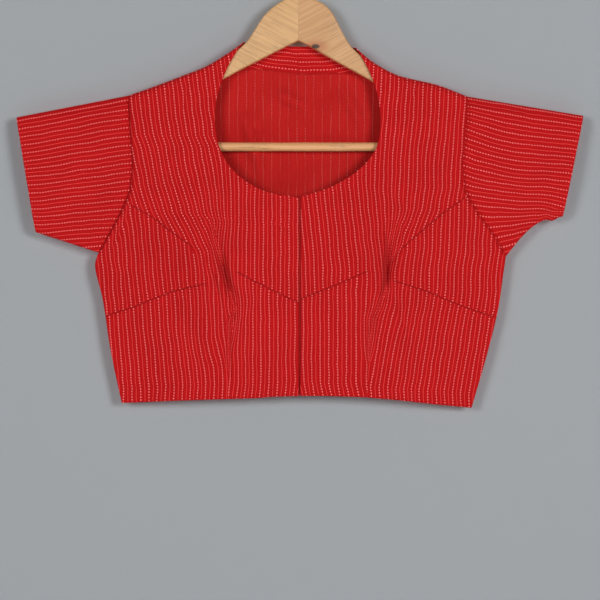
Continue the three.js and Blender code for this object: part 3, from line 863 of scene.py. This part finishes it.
def cotton(name, wrong_side=False, seams=()):
    """Red cotton with a dashed stripe in a pinkish white slub and a plain one half way between, woven in."""
    nodes = Nodes(name)
    cloth = nodes.add("ShaderNodeUVMap", "UV", uv_map="cloth")
    across, along = nodes.millimetres(cloth, "X", "Y")
    across = across + (nodes.noise(cloth, 34, 2.5) - 0.5) * 3.4
    from_dashed = nodes.math("ABSOLUTE", nodes.math("WRAP", across, STRIPE_PITCH / 2, -STRIPE_PITCH / 2))
    from_plain = STRIPE_PITCH / 2 - from_dashed

    stripe = nodes.math("FLOOR", across * (1 / STRIPE_PITCH) + 0.5)
    shift = nodes.math("SINE", stripe * 12.9898) * 0.9
    from_dash = nodes.math("ABSOLUTE", nodes.math("WRAP", along + shift, DASH_PITCH / 2, -DASH_PITCH / 2))
    slub = nodes.noise(cloth, 420, 1)
    dash_half = 0.64 + (slub - 0.5) * 0.6
    dash_long = 1.0 - nodes.band(from_dash - dash_half, -0.06, 0.12)
    dash = dash_long * nodes.band(from_dashed, 0.68, 0.36)
    plain = nodes.band(from_plain, 0.5, 0.14)

    patch = nodes.noise(cloth, 22, 3, 0.6)
    fleck = nodes.noise(cloth, 900, 2, 0.7)
    if wrong_side:
        base = nodes.colour(patch, srgb(166, 14, 14), srgb(190, 24, 22))
        base = nodes.colour(fleck * 0.25, base, srgb(206, 52, 48))
        base = nodes.colour(plain * 0.06, base, srgb(222, 96, 92))
        base = nodes.colour(dash * (nodes.band(patch, 0.3, 0.6) * 0.34), base, srgb(232, 140, 134))
    else:
        base = nodes.colour(patch, srgb(166, 8, 11), srgb(186, 12, 16))
        base = nodes.colour(fleck * 0.14, base, srgb(222, 40, 40))
        base = nodes.colour(plain * (0.35 + slub * 0.7), base, srgb(250, 76, 74))
        fuzz = dash_long * nodes.band(from_dashed, 1.0, 0.5)
        base = nodes.colour(fuzz * 0.6, base, srgb(255, 40, 40))
        base = nodes.colour(dash, base, srgb(255, 132, 130))
    warp, weft = (nodes.math("SINE", at * (2 * math.pi / gap)) for at, gap in ((across, 0.42), (along, 0.46)))
    weave = warp * weft
    height = weave * 0.25 + fleck * 0.5 + nodes.math("MAXIMUM", dash, plain) * 0.9
    # Painted shade: the seams' lines are coloured darker, standing in for the shade in their ditches; they
    # also dip in the bump.
    if seams:
        seam = seam_shade_mask(nodes, seams)
        base = nodes.colour(seam, base, srgb(132, 6, 9))
        height = height - seam * 1.5
    settings = {
        "Sheen Weight": 0.04,
        "Sheen Roughness": 0.5,
        "Sheen Tint": srgb(255, 150, 145),
        "Specular IOR Level": 0.12,
    }
    return nodes.finish(base, 0.74 + fleck * 0.2, settings, nodes.bump(height, 0.5, 0.00016))


def timber(name, tone, grain_turn, knot=None):
    """Pale varnished wood, its grain along the piece, turned by grain_turn degrees in the front's plane."""
    nodes = Nodes(name)
    place = nodes.place()
    turned = nodes.mapped(place, Rotation=(0, math.radians(grain_turn), 0))
    fibre = nodes.noise(nodes.mapped(turned, Scale=(14, 120, 420)), 1.0, 6, 0.62)
    pore = nodes.noise(nodes.mapped(turned, Scale=(45, 700, 1000)), 1.0, 3, 0.6)
    cloud = nodes.noise(place, 28, 2)
    light, dark = tone
    base = nodes.colour(nodes.band(fibre, 0.3, 0.74), srgb(*light), srgb(*dark))
    pores = nodes.band(pore, 0.54, 0.68) * nodes.band(cloud, 0.38, 0.62)
    base = nodes.colour(pores * 0.75, base, srgb(112, 96, 74))
    base = nodes.colour(nodes.band(cloud, 0.5, 0.75) * 0.3, base, srgb(196, 150, 96))
    if knot is not None:
        (centre_x, centre_z), size = knot
        longer, shorter = 0.75, 1.4
        squeezed = nodes.mapped(place, Scale=(longer, 0.2, shorter))
        centre = (longer * centre_x * MM, 0, shorter * centre_z * MM)
        away = nodes.add("ShaderNodeVectorMath", "Value", {0: squeezed, 1: centre}, operation="DISTANCE")
        uneven = away + (fibre - 0.5) * 0.005
        base = nodes.colour(nodes.band(uneven, size * MM, size * MM * 0.2) * 0.75, base, srgb(178, 104, 62))
        base = nodes.colour(nodes.band(uneven, size * MM * 0.3, size * MM * 0.18), base, srgb(66, 38, 24))
    normal = nodes.bump(fibre + pore * 0.5, 0.25, 0.0002)
    return nodes.finish(base, 0.42 + fibre * 0.2, {"Coat Weight": 0.25, "Coat Roughness": 0.3}, normal)


def bright_steel():
    nodes = Nodes("steel")
    smear = nodes.noise(nodes.place(), 90, 3)
    scratch = nodes.noise(nodes.place(), 1400, 2)
    base = nodes.colour(smear, srgb(196, 198, 202), srgb(214, 215, 218))
    return nodes.finish(base, 0.14 + smear * 0.22, {"Metallic": 1.0}, nodes.bump(scratch, 0.12, 0.00005))


# ---- pieces of the blouse ----
def shares(length, lead=(0.5, 1.2, 2.2), step=CELL):
    """Shares along a length: close together at both ends, then a cell apart."""
    inner = np.linspace(lead[-1], length - lead[-1], max(2, round((length - 2 * lead[-1]) / step) + 1))
    places = np.concatenate([[0], lead[:-1], inner, length - np.array(lead[:-1])[::-1], [length]])
    return places / length


def seam_shade_lines(name):
    """The lines of a front that get painted seam shade: its darts but the waist's, which its fold hides."""
    sign = HALVES[name]["sign"]
    return [(sign, DARTS[name][dart], 0.8) for dart in ("centre", "armhole", "side")]


def armhole_line(name):
    # shade is how dark the painted shade along this armhole seam is.
    shade = {"right": 0.9, "left": 0.4}[name]
    return (HALVES[name]["sign"], [(out, z) for out, z, deep in HALVES[name]["armhole"]], shade)


MATERIALS = {"outside": cotton("cotton_outside"), "inside": cotton("cotton_inside", wrong_side=True)}
for side_name in HALVES:
    armhole = [armhole_line(side_name)]
    shaded_seams = seam_shade_lines(side_name) + armhole
    MATERIALS[f"front_{side_name}"] = cotton(f"cotton_front_{side_name}", seams=shaded_seams)
    MATERIALS[f"sleeve_{side_name}"] = cotton(f"cotton_sleeve_{side_name}", seams=armhole)


def front_piece(name):
    half = HALF[name]
    u = shares(185.0)
    notch_column = int(np.argmin(np.abs(u - NOTCH)))
    u[notch_column] = NOTCH
    v = (np.linspace(0, 1, 73) ** 1.25)[:0:-1]
    w = np.minimum(1, u / NOTCH)
    bend = front_bend(half, u, np.linspace(0, 1, 9)[:-1])
    points = np.concatenate([collar_points(half, w, v), bend, front_points(half, u, shares(PANEL))])
    flat = points.reshape(-1, 3)
    collar_rows, columns = len(v), len(u)

    # On the collar the stripes follow its free edge; at the shoulder they carry on from the front's.
    ridge = half["ridge"](u)
    ridge_across = stripes_on_front(half, ridge[:, 0], ridge[:, 2], ridge[:, 0], ridge[:, 2])
    along_band = v[:, None]
    on_band = ridge_across[0] + w[None, :] * mix(60.0, 31.0, np.sqrt(along_band))
    collar_across = mix(ridge_across[None, :], on_band, smooth(along_band, 0, 0.3))
    collar_across = np.vstack([collar_across, ridge_across])
    collar_along = np.vstack([-ridge[None, :, 2] - 118.0 * along_band, -ridge[None, :, 2]])

    def cloth_at(corners):
        out = half["sign"] * flat[corners, 0]
        z = flat[corners, 2]
        centre_out = out.mean(axis=1, keepdims=True)
        centre_z = z.mean(axis=1, keepdims=True)
        across = stripes_on_front(half, out, z, centre_out, centre_z)
        row = corners // columns
        in_collar = row.min(axis=1, keepdims=True) < collar_rows
        band_place = (np.minimum(row, collar_rows), corners % columns)
        across = np.where(in_collar, collar_across[band_place], across)
        along = np.where(in_collar, collar_along[band_place], -z)
        return half["sign"] * across, along

    def has(j, i):
        return (j >= collar_rows) | (i < notch_column)

    materials = [MATERIALS[f"front_{name}"], MATERIALS["inside"]]
    piece = shell(f"front_{name}_cloth", points, cloth_at, materials, has, turned=half["sign"] > 0)
    finish_cloth(piece, f"front_{name}")


def sleeve_piece(name):
    half = HALF[name]
    sign, cuff = half["sign"], half["cuff"]
    bend = front_bend(half, np.array([1.0]), np.linspace(0, 1, 9))[:, 0, :]
    armhole_rows = np.linspace(0, ARMHOLE_SHARE, 95)
    panel = front_points(half, np.array([1.0]), armhole_rows, fine=False)[1:, 0, :]
    edge = np.vstack([bend, panel])
    height = (edge[0, 2] - edge[:, 2]) / (edge[0, 2] - edge[-1, 2])
    flat_share = np.sqrt(np.maximum(0, 1 - (2 * height - 1) ** 4))
    cuff_edge = np.stack(
        [
            sign * mix(cuff["top"][0], cuff["low"][0], height),
            -(CUFF_DEEP * flat_share + UNDERARM * height),
            mix(cuff["top"][1], cuff["low"][1], height),
        ],
        -1,
    )
    E = shares(SLEEVE)[:, None]
    H = height[None, :]
    reach = E * SLEEVE
    points = mix(edge[None, :, :], cuff_edge[None, :, :], E[..., None])
    points[..., 0] += sign * GAP * 1.6 * (1 - E)
    points[..., 2] += cuff["under_lift"] * np.sin(np.pi * E) * H**3
    if sign > 0:
        points[..., 2] -= 3 * bell((reach - 103) / 11) * H**10
    body = np.sin(np.pi * np.clip(H, 0, 1)) ** 0.5
    roll = -2.6 * bell(reach / 2.4)
    to_stitches = SLEEVE - reach - CUFF_HEM
    hem = 0.3 * smooth(1 - to_stitches, 0, 2.5) - 0.3 * bell(to_stitches / 1.3)
    fold = 1.8 * bell((reach - 62 - 34 * (H - 0.6)) / 13) * smooth(H, 0.25, 0.8) * (1 - smooth(H, 0.9, 1))
    if sign > 0:
        corner = 5 * bell((H - 0.925 - 0.0006 * (reach - 95)) / 0.02)
        corner = corner * smooth(reach, 70, 90) * (1 - smooth(reach, 112, 121))
    else:
        corner = 2.6 * bell((reach - 5 - 4 * H) / 3.2) * smooth(H, 0.6, 0.85)
    tug = 1.4 * bell((reach - 26 - 20 * H) / 10) * smooth(H, 0.4, 0.75) * (1 - smooth(H, 0.88, 1))

    def relief(wave):
        creased = (0.9 * wave - fold - corner - tug) * body * smooth(reach, 0, 14) * 0.8
        return creased + hem * body + roll * np.minimum(1, body * 2)

    seed = 31 if sign > 0 else 41
    front_layer = points.copy()
    front_layer[..., 1] -= relief(ripple(reach, H * 150, seed, 60))
    back_layer = points.copy()
    back_layer[..., 1] *= -1
    back_layer[..., 1] += relief(ripple(reach * 1.07 + 33, H * 150, seed + 5, 60))
    ring_points = np.concatenate([front_layer, back_layer[:, 1:][:, ::-1]], axis=1)
    ring_height = np.concatenate([height, -height[1:][::-1]])

    # How far across the stripes: down the front layer, and the same, negative, down the back layer.
    down = np.abs(ring_height)[None, :]
    if sign > 0:
        depth = mix(161.5, 115.5, E)
        sweep = 8 + 7 * np.exp(-reach / 22) * smooth(down, 0, 0.18) * (1 - smooth(down, 0.6, 0.9))
        sweep = sweep + 1.3 * np.sin(reach / 17 + 1.0) * np.sin(np.pi * down)
        sweep = sweep + 7 * smooth(down, 0.9, 1) * smooth(reach, 70, 95)
    else:
        depth = mix(161.7, 135.4, E)
        sweep = 6 + 0.8 * np.sin(reach / 26 + 0.6) * np.sin(np.pi * down)
    across_flat = ((down * depth + sweep) * np.where(ring_height < 0, -1, 1)).ravel()
    along_flat = np.abs(ring_points[..., 0]).ravel()

    def cloth_at(corners):
        across = across_flat[corners]
        # The cell at the underarm seam joins the two layers, so it takes the front layer's side alone.
        joins = np.ptp(across, axis=1)[:, None] > 60
        return np.where(joins, np.abs(across), across) - 1.2, along_flat[corners] * sign

    materials = [MATERIALS[f"sleeve_{name}"], MATERIALS["inside"]]
    piece = shell(f"sleeve_{name}_cloth", ring_points, cloth_at, materials, ring=True, turned=sign < 0)
    finish_cloth(piece, f"sleeve_{name}")


def back_piece():
    u = shares(205.0, step=3.0)
    t = shares(PANEL, step=2.6)
    turn = np.linspace(0, 1, 7)[:-1]
    right, left = (
        np.concatenate([back_bend(HALF[name], u, turn), back_points(HALF[name], u, t)])
        for name in ("right", "left")
    )
    points = np.concatenate([right[:, ::-1], left[:, 1:]], axis=1)
    flat = points.reshape(-1, 3)

    def cloth_at(corners):
        x = flat[corners, 0]
        z = flat[corners, 2]
        centre = x.mean(axis=1, keepdims=True)
        held = smooth(-z, 372, 506) * 12.0
        across = x + np.sign(centre) * held * (np.abs(centre) > 80)
        return across + 1.7, -z

    piece = shell("back_cloth", points, cloth_at, [MATERIALS["outside"], MATERIALS["inside"]])
    finish_cloth(piece, "back")


def facing_piece(name):
    half = HALF[name]
    w = np.linspace(0.02, 0.965, 22)
    v = np.linspace(0.18, 1, 56)
    points = collar_points(half, w, v)
    normal = unit(np.cross(np.gradient(points, axis=1), np.gradient(points, axis=0)))
    normal *= np.where(normal[..., 1:2] > 0, -1, 1)
    step = np.linalg.norm(np.diff(points[:, len(w) // 2], axis=0), axis=-1)
    round_neck = np.concatenate([[0], np.cumsum(step)])
    wave = 0.3 * ripple(points[..., 0], points[..., 2], 51, 22)
    lift = 1.35 + wave * np.sin(np.pi * np.clip(w, 0, 1))[None, :]
    flat = points.reshape(-1, 3)
    points = points + normal * lift[..., None]
    band_width = mix(48.0, 31.0, smooth(v, 0.1, 0.8))
    across_flat = np.outer(band_width, w).ravel()
    along_flat = np.repeat(round_neck, len(w))

    def cloth_at(corners):
        return across_flat[corners] + 1.5, along_flat[corners] * half["sign"]

    name = f"collar_facing_{name}"
    piece = shell(f"{name}_cloth", points, cloth_at, [MATERIALS["outside"]], thickness=0.6, rim=0.25)
    finish_cloth(piece, name)


def stand_piece():
    """The strip behind the front opening, as far behind each front's edge as the cloth beside it."""
    behind = 2.6
    t = np.linspace(NECK_SHARE + 0.004, 0.998, 120)
    near_edge = [0.0, 0.05, 0.1]
    columns = []
    for x in np.linspace(-16, 13, 24):
        half = HALF["right" if x < 0 else "left"]
        inner = half["inner"](t)[:, 0]
        outer = half["outer"](t)[:, 0]
        share = np.clip((abs(x) - inner) / (outer - inner), 0, 1)
        front = front_points(half, np.array(near_edge), t, fine=False)
        deep, z = (
            np.array([np.interp(at, near_edge, row) for at, row in zip(share, front[..., axis])])
            for axis in (1, 2)
        )
        columns.append(np.stack([np.full(len(t), x), deep + behind, z], -1))
    points = np.stack(columns, axis=1)
    flat = points.reshape(-1, 3)

    def cloth_at(corners):
        return flat[corners, 0] + 3.0, -flat[corners, 2]

    piece = shell("button_stand_cloth", points, cloth_at, [MATERIALS["outside"], MATERIALS["inside"]])
    finish_cloth(piece, "button_stand")


# ---- the hanger ----
def smooth_rows(rows, step=2.0):
    """Rows of out, top and bottom, closer together, eased between the given ones."""
    rows = np.array(rows, float)
    out = np.arange(rows[0, 0], rows[-1, 0], step)
    out = np.append(out, rows[-1, 0])
    top = np.interp(out, rows[:, 0], rows[:, 1])
    bottom = np.interp(out, rows[:, 0], rows[:, 2])
    kernel = np.array([1, 2, 3, 2, 1]) / 9
    for values in (top, bottom):
        eased = np.convolve(np.pad(values, 2, mode="reflect", reflect_type="odd"), kernel, "valid")
        values[2:-2] = eased[2:-2]
    return out, top, bottom


def rod(node, kind, rings, material, flip=False):
    """A closed skin round rings of points; flip where they run the other way round."""
    count = len(rings[0])
    last = (len(rings) - 1) * count
    faces = [
        (j + i, j + (i + 1) % count, j + count + (i + 1) % count, j + count + i)
        for j in range(0, last, count)
        for i in range(count)
    ]
    faces += [tuple(range(count))[::-1], tuple(range(last, last + count))]
    if flip:
        faces = [face[::-1] for face in faces]
    piece = add_piece(f"{node}_{kind}", np.array(rings).reshape(-1, 3), faces, [material])
    return stand_for(piece, node)


def arm_piece(name, material):
    sign = HALVES[name]["sign"]
    radius = WOOD_ROUND * 0.9
    end_out = HANGER[name][-1][0]
    rings = []
    for out, top, bottom in zip(*smooth_rows(HANGER[name])):
        half_thick = WOOD / 2 * (0.55 + 0.45 * smooth(end_out - out, 0, 6))
        ring = []
        for side_y, side_z, start in ((1, 1, 0), (-1, 1, 90), (-1, -1, 180), (1, -1, 270)):
            for turn in np.linspace(0, 90, 6):
                angle = math.radians(start + turn)
                y = side_y * (half_thick - radius) + radius * math.cos(angle)
                z = (top - WOOD_ROUND if side_z > 0 else bottom + WOOD_ROUND) + WOOD_ROUND * math.sin(angle)
                ring.append((sign * max(out, 0.06), y, z))
        rings.append(ring)
    arm = rod(f"hanger_arm_{name}", "wood", rings, material, flip=sign < 0)
    arm.data.set_sharp_from_angle(angle=math.radians(50))


def bar_piece(material):
    """The round bar that joins the arms, a little uneven, with rounded ends."""
    half_long, round_radius, bar_z = 161.4, 4.9, -225
    rings = []
    xs = np.linspace(-half_long, half_long, 120)
    for x in xs:
        radius = round_radius + 0.06 * math.sin(x / 19) + 0.05 * math.sin(x / 7 + 1)
        if x in (xs[0], xs[-1]):
            radius -= 0.7
        angles = np.linspace(0, 2 * math.pi, 33)[:-1]
        rings.append([(x, radius * math.cos(a), bar_z + radius * math.sin(a)) for a in angles])
    bar = rod("hanger_bar", "wood", rings, material, flip=True)
    bar.data.set_sharp_from_angle(angle=math.radians(50))


def hook_piece(material):
    """The wire hook: an arc from a rounded tip over the top, then a bend into its stem."""
    radius, wire, tip_rings = 20.0, 1.8, 4
    middle_z = wire - radius
    arc = [math.radians(a) for a in np.linspace(-35, 235, 60)]
    path = [(radius * math.cos(a), middle_z + radius * math.sin(a)) for a in arc]
    path += [(-1.5, -43.6), (0, -48.6), (0, -54.4)]
    line = curve_through([(x + 100, z) for x, z in path])(np.linspace(0, 1, 160))
    line[:, 0] -= 100
    side = np.array([0.0, 1.0, 0.0])
    angles = np.linspace(0, 2 * math.pi, 17)[:-1]
    rings = []
    for k, (point, along) in enumerate(zip(line, unit(np.gradient(line, axis=0)))):
        across = np.cross(side, along)
        rounding = 1 - (1 - min(k, tip_rings) / tip_rings) ** 2
        reach = wire * math.sqrt(max(0.02, rounding))
        rings.append([point + reach * (math.cos(a) * side + math.sin(a) * across) for a in angles])
    rod("hanger_hook", "wire", rings, material)


# ---- stage, lights and camera ----
def plane(name, corners, colour, one_sided=False):
    """A flat backdrop. A one-sided one is clear from behind and lets the light behind it through."""
    nodes = Nodes(name)
    nodes.finish(colour, 0.9, {})
    if one_sided:
        behind = nodes.add("ShaderNodeNewGeometry", "Backfacing")
        clear = nodes.add("ShaderNodeBsdfTransparent", 0)
        inputs = {0: behind, 1: Value(nodes, nodes.shader.outputs[0]), 2: clear}
        chosen = nodes.add("ShaderNodeMixShader", 0, inputs)
        nodes.link(chosen, nodes.tree.nodes["Material Output"].inputs["Surface"])
    piece = add_piece(name, np.array(corners) / MM, [tuple(range(len(corners)))], [nodes.material])
    piece.visible_shadow = not one_sided


def area_light(name, place, target, size, power):
    data = bpy.data.lights.new(name, "AREA")
    data.shape = "DISK"
    data.size = size
    data.energy = power
    light = bpy.data.objects.new(name, data)
    light.location = place
    aim = Vector(target) - Vector(place)
    light.rotation_euler = aim.to_track_quat("-Z", "Y").to_euler()
    scene.collection.objects.link(light)


def stage_and_camera():
    wall_y, floor_z = 0.0185, -1.3
    wall = [(-2, wall_y, floor_z), (2, wall_y, floor_z), (2, wall_y, 1.2), (-2, wall_y, 1.2)]
    plane("backdrop", wall, srgb(156, 160, 163), one_sided=True)
    floor = [(-4, -4, floor_z), (4, -4, floor_z), (4, 4, floor_z), (-4, 4, floor_z)]
    plane("floor", floor, srgb(214, 214, 214))
    middle = (0, 0, -0.3)
    area_light("key_left", (-1.3, -2.6, 0.0), middle, 1.1, 35)
    area_light("key_right", (1.5, -2.7, 0.05), middle, 1.0, 49)
    area_light("behind", (0.0, 2.4, 0.8), middle, 1.6, 40)
    world = bpy.data.worlds.new("room")
    world.use_nodes = True
    world.node_tree.nodes["Background"].inputs["Color"].default_value = (0.92, 0.95, 1.0, 1)
    world.node_tree.nodes["Background"].inputs["Strength"].default_value = 0.1
    scene.world = world
    scene.view_settings.view_transform = "Standard"

    across = 0.666  # width of the view at the blouse
    distance = 3.0
    camera = bpy.data.cameras.new("camera")
    camera.sensor_width = 36
    camera.lens = 36 * distance / across
    camera.clip_end = 50
    viewer = bpy.data.objects.new("camera", camera)
    viewer.location = (0.0017, -distance, -0.395)
    viewer.rotation_euler = (math.radians(90), 0, 0)
    scene.collection.objects.link(viewer)
    scene.camera = viewer


for side_name in HALVES:
    front_piece(side_name)
    sleeve_piece(side_name)
    facing_piece(side_name)
back_piece()
stand_piece()
arm_piece("right", timber("wood_right", ((219, 172, 118), (196, 149, 98)), -28))
arm_piece("left", timber("wood_left", ((209, 160, 110), (188, 138, 90)), 28, knot=((19, -114), 15)))
bar_piece(timber("wood_bar", ((228, 170, 118), (206, 148, 96)), 0))
hook_piece(bright_steel())
stage_and_camera()
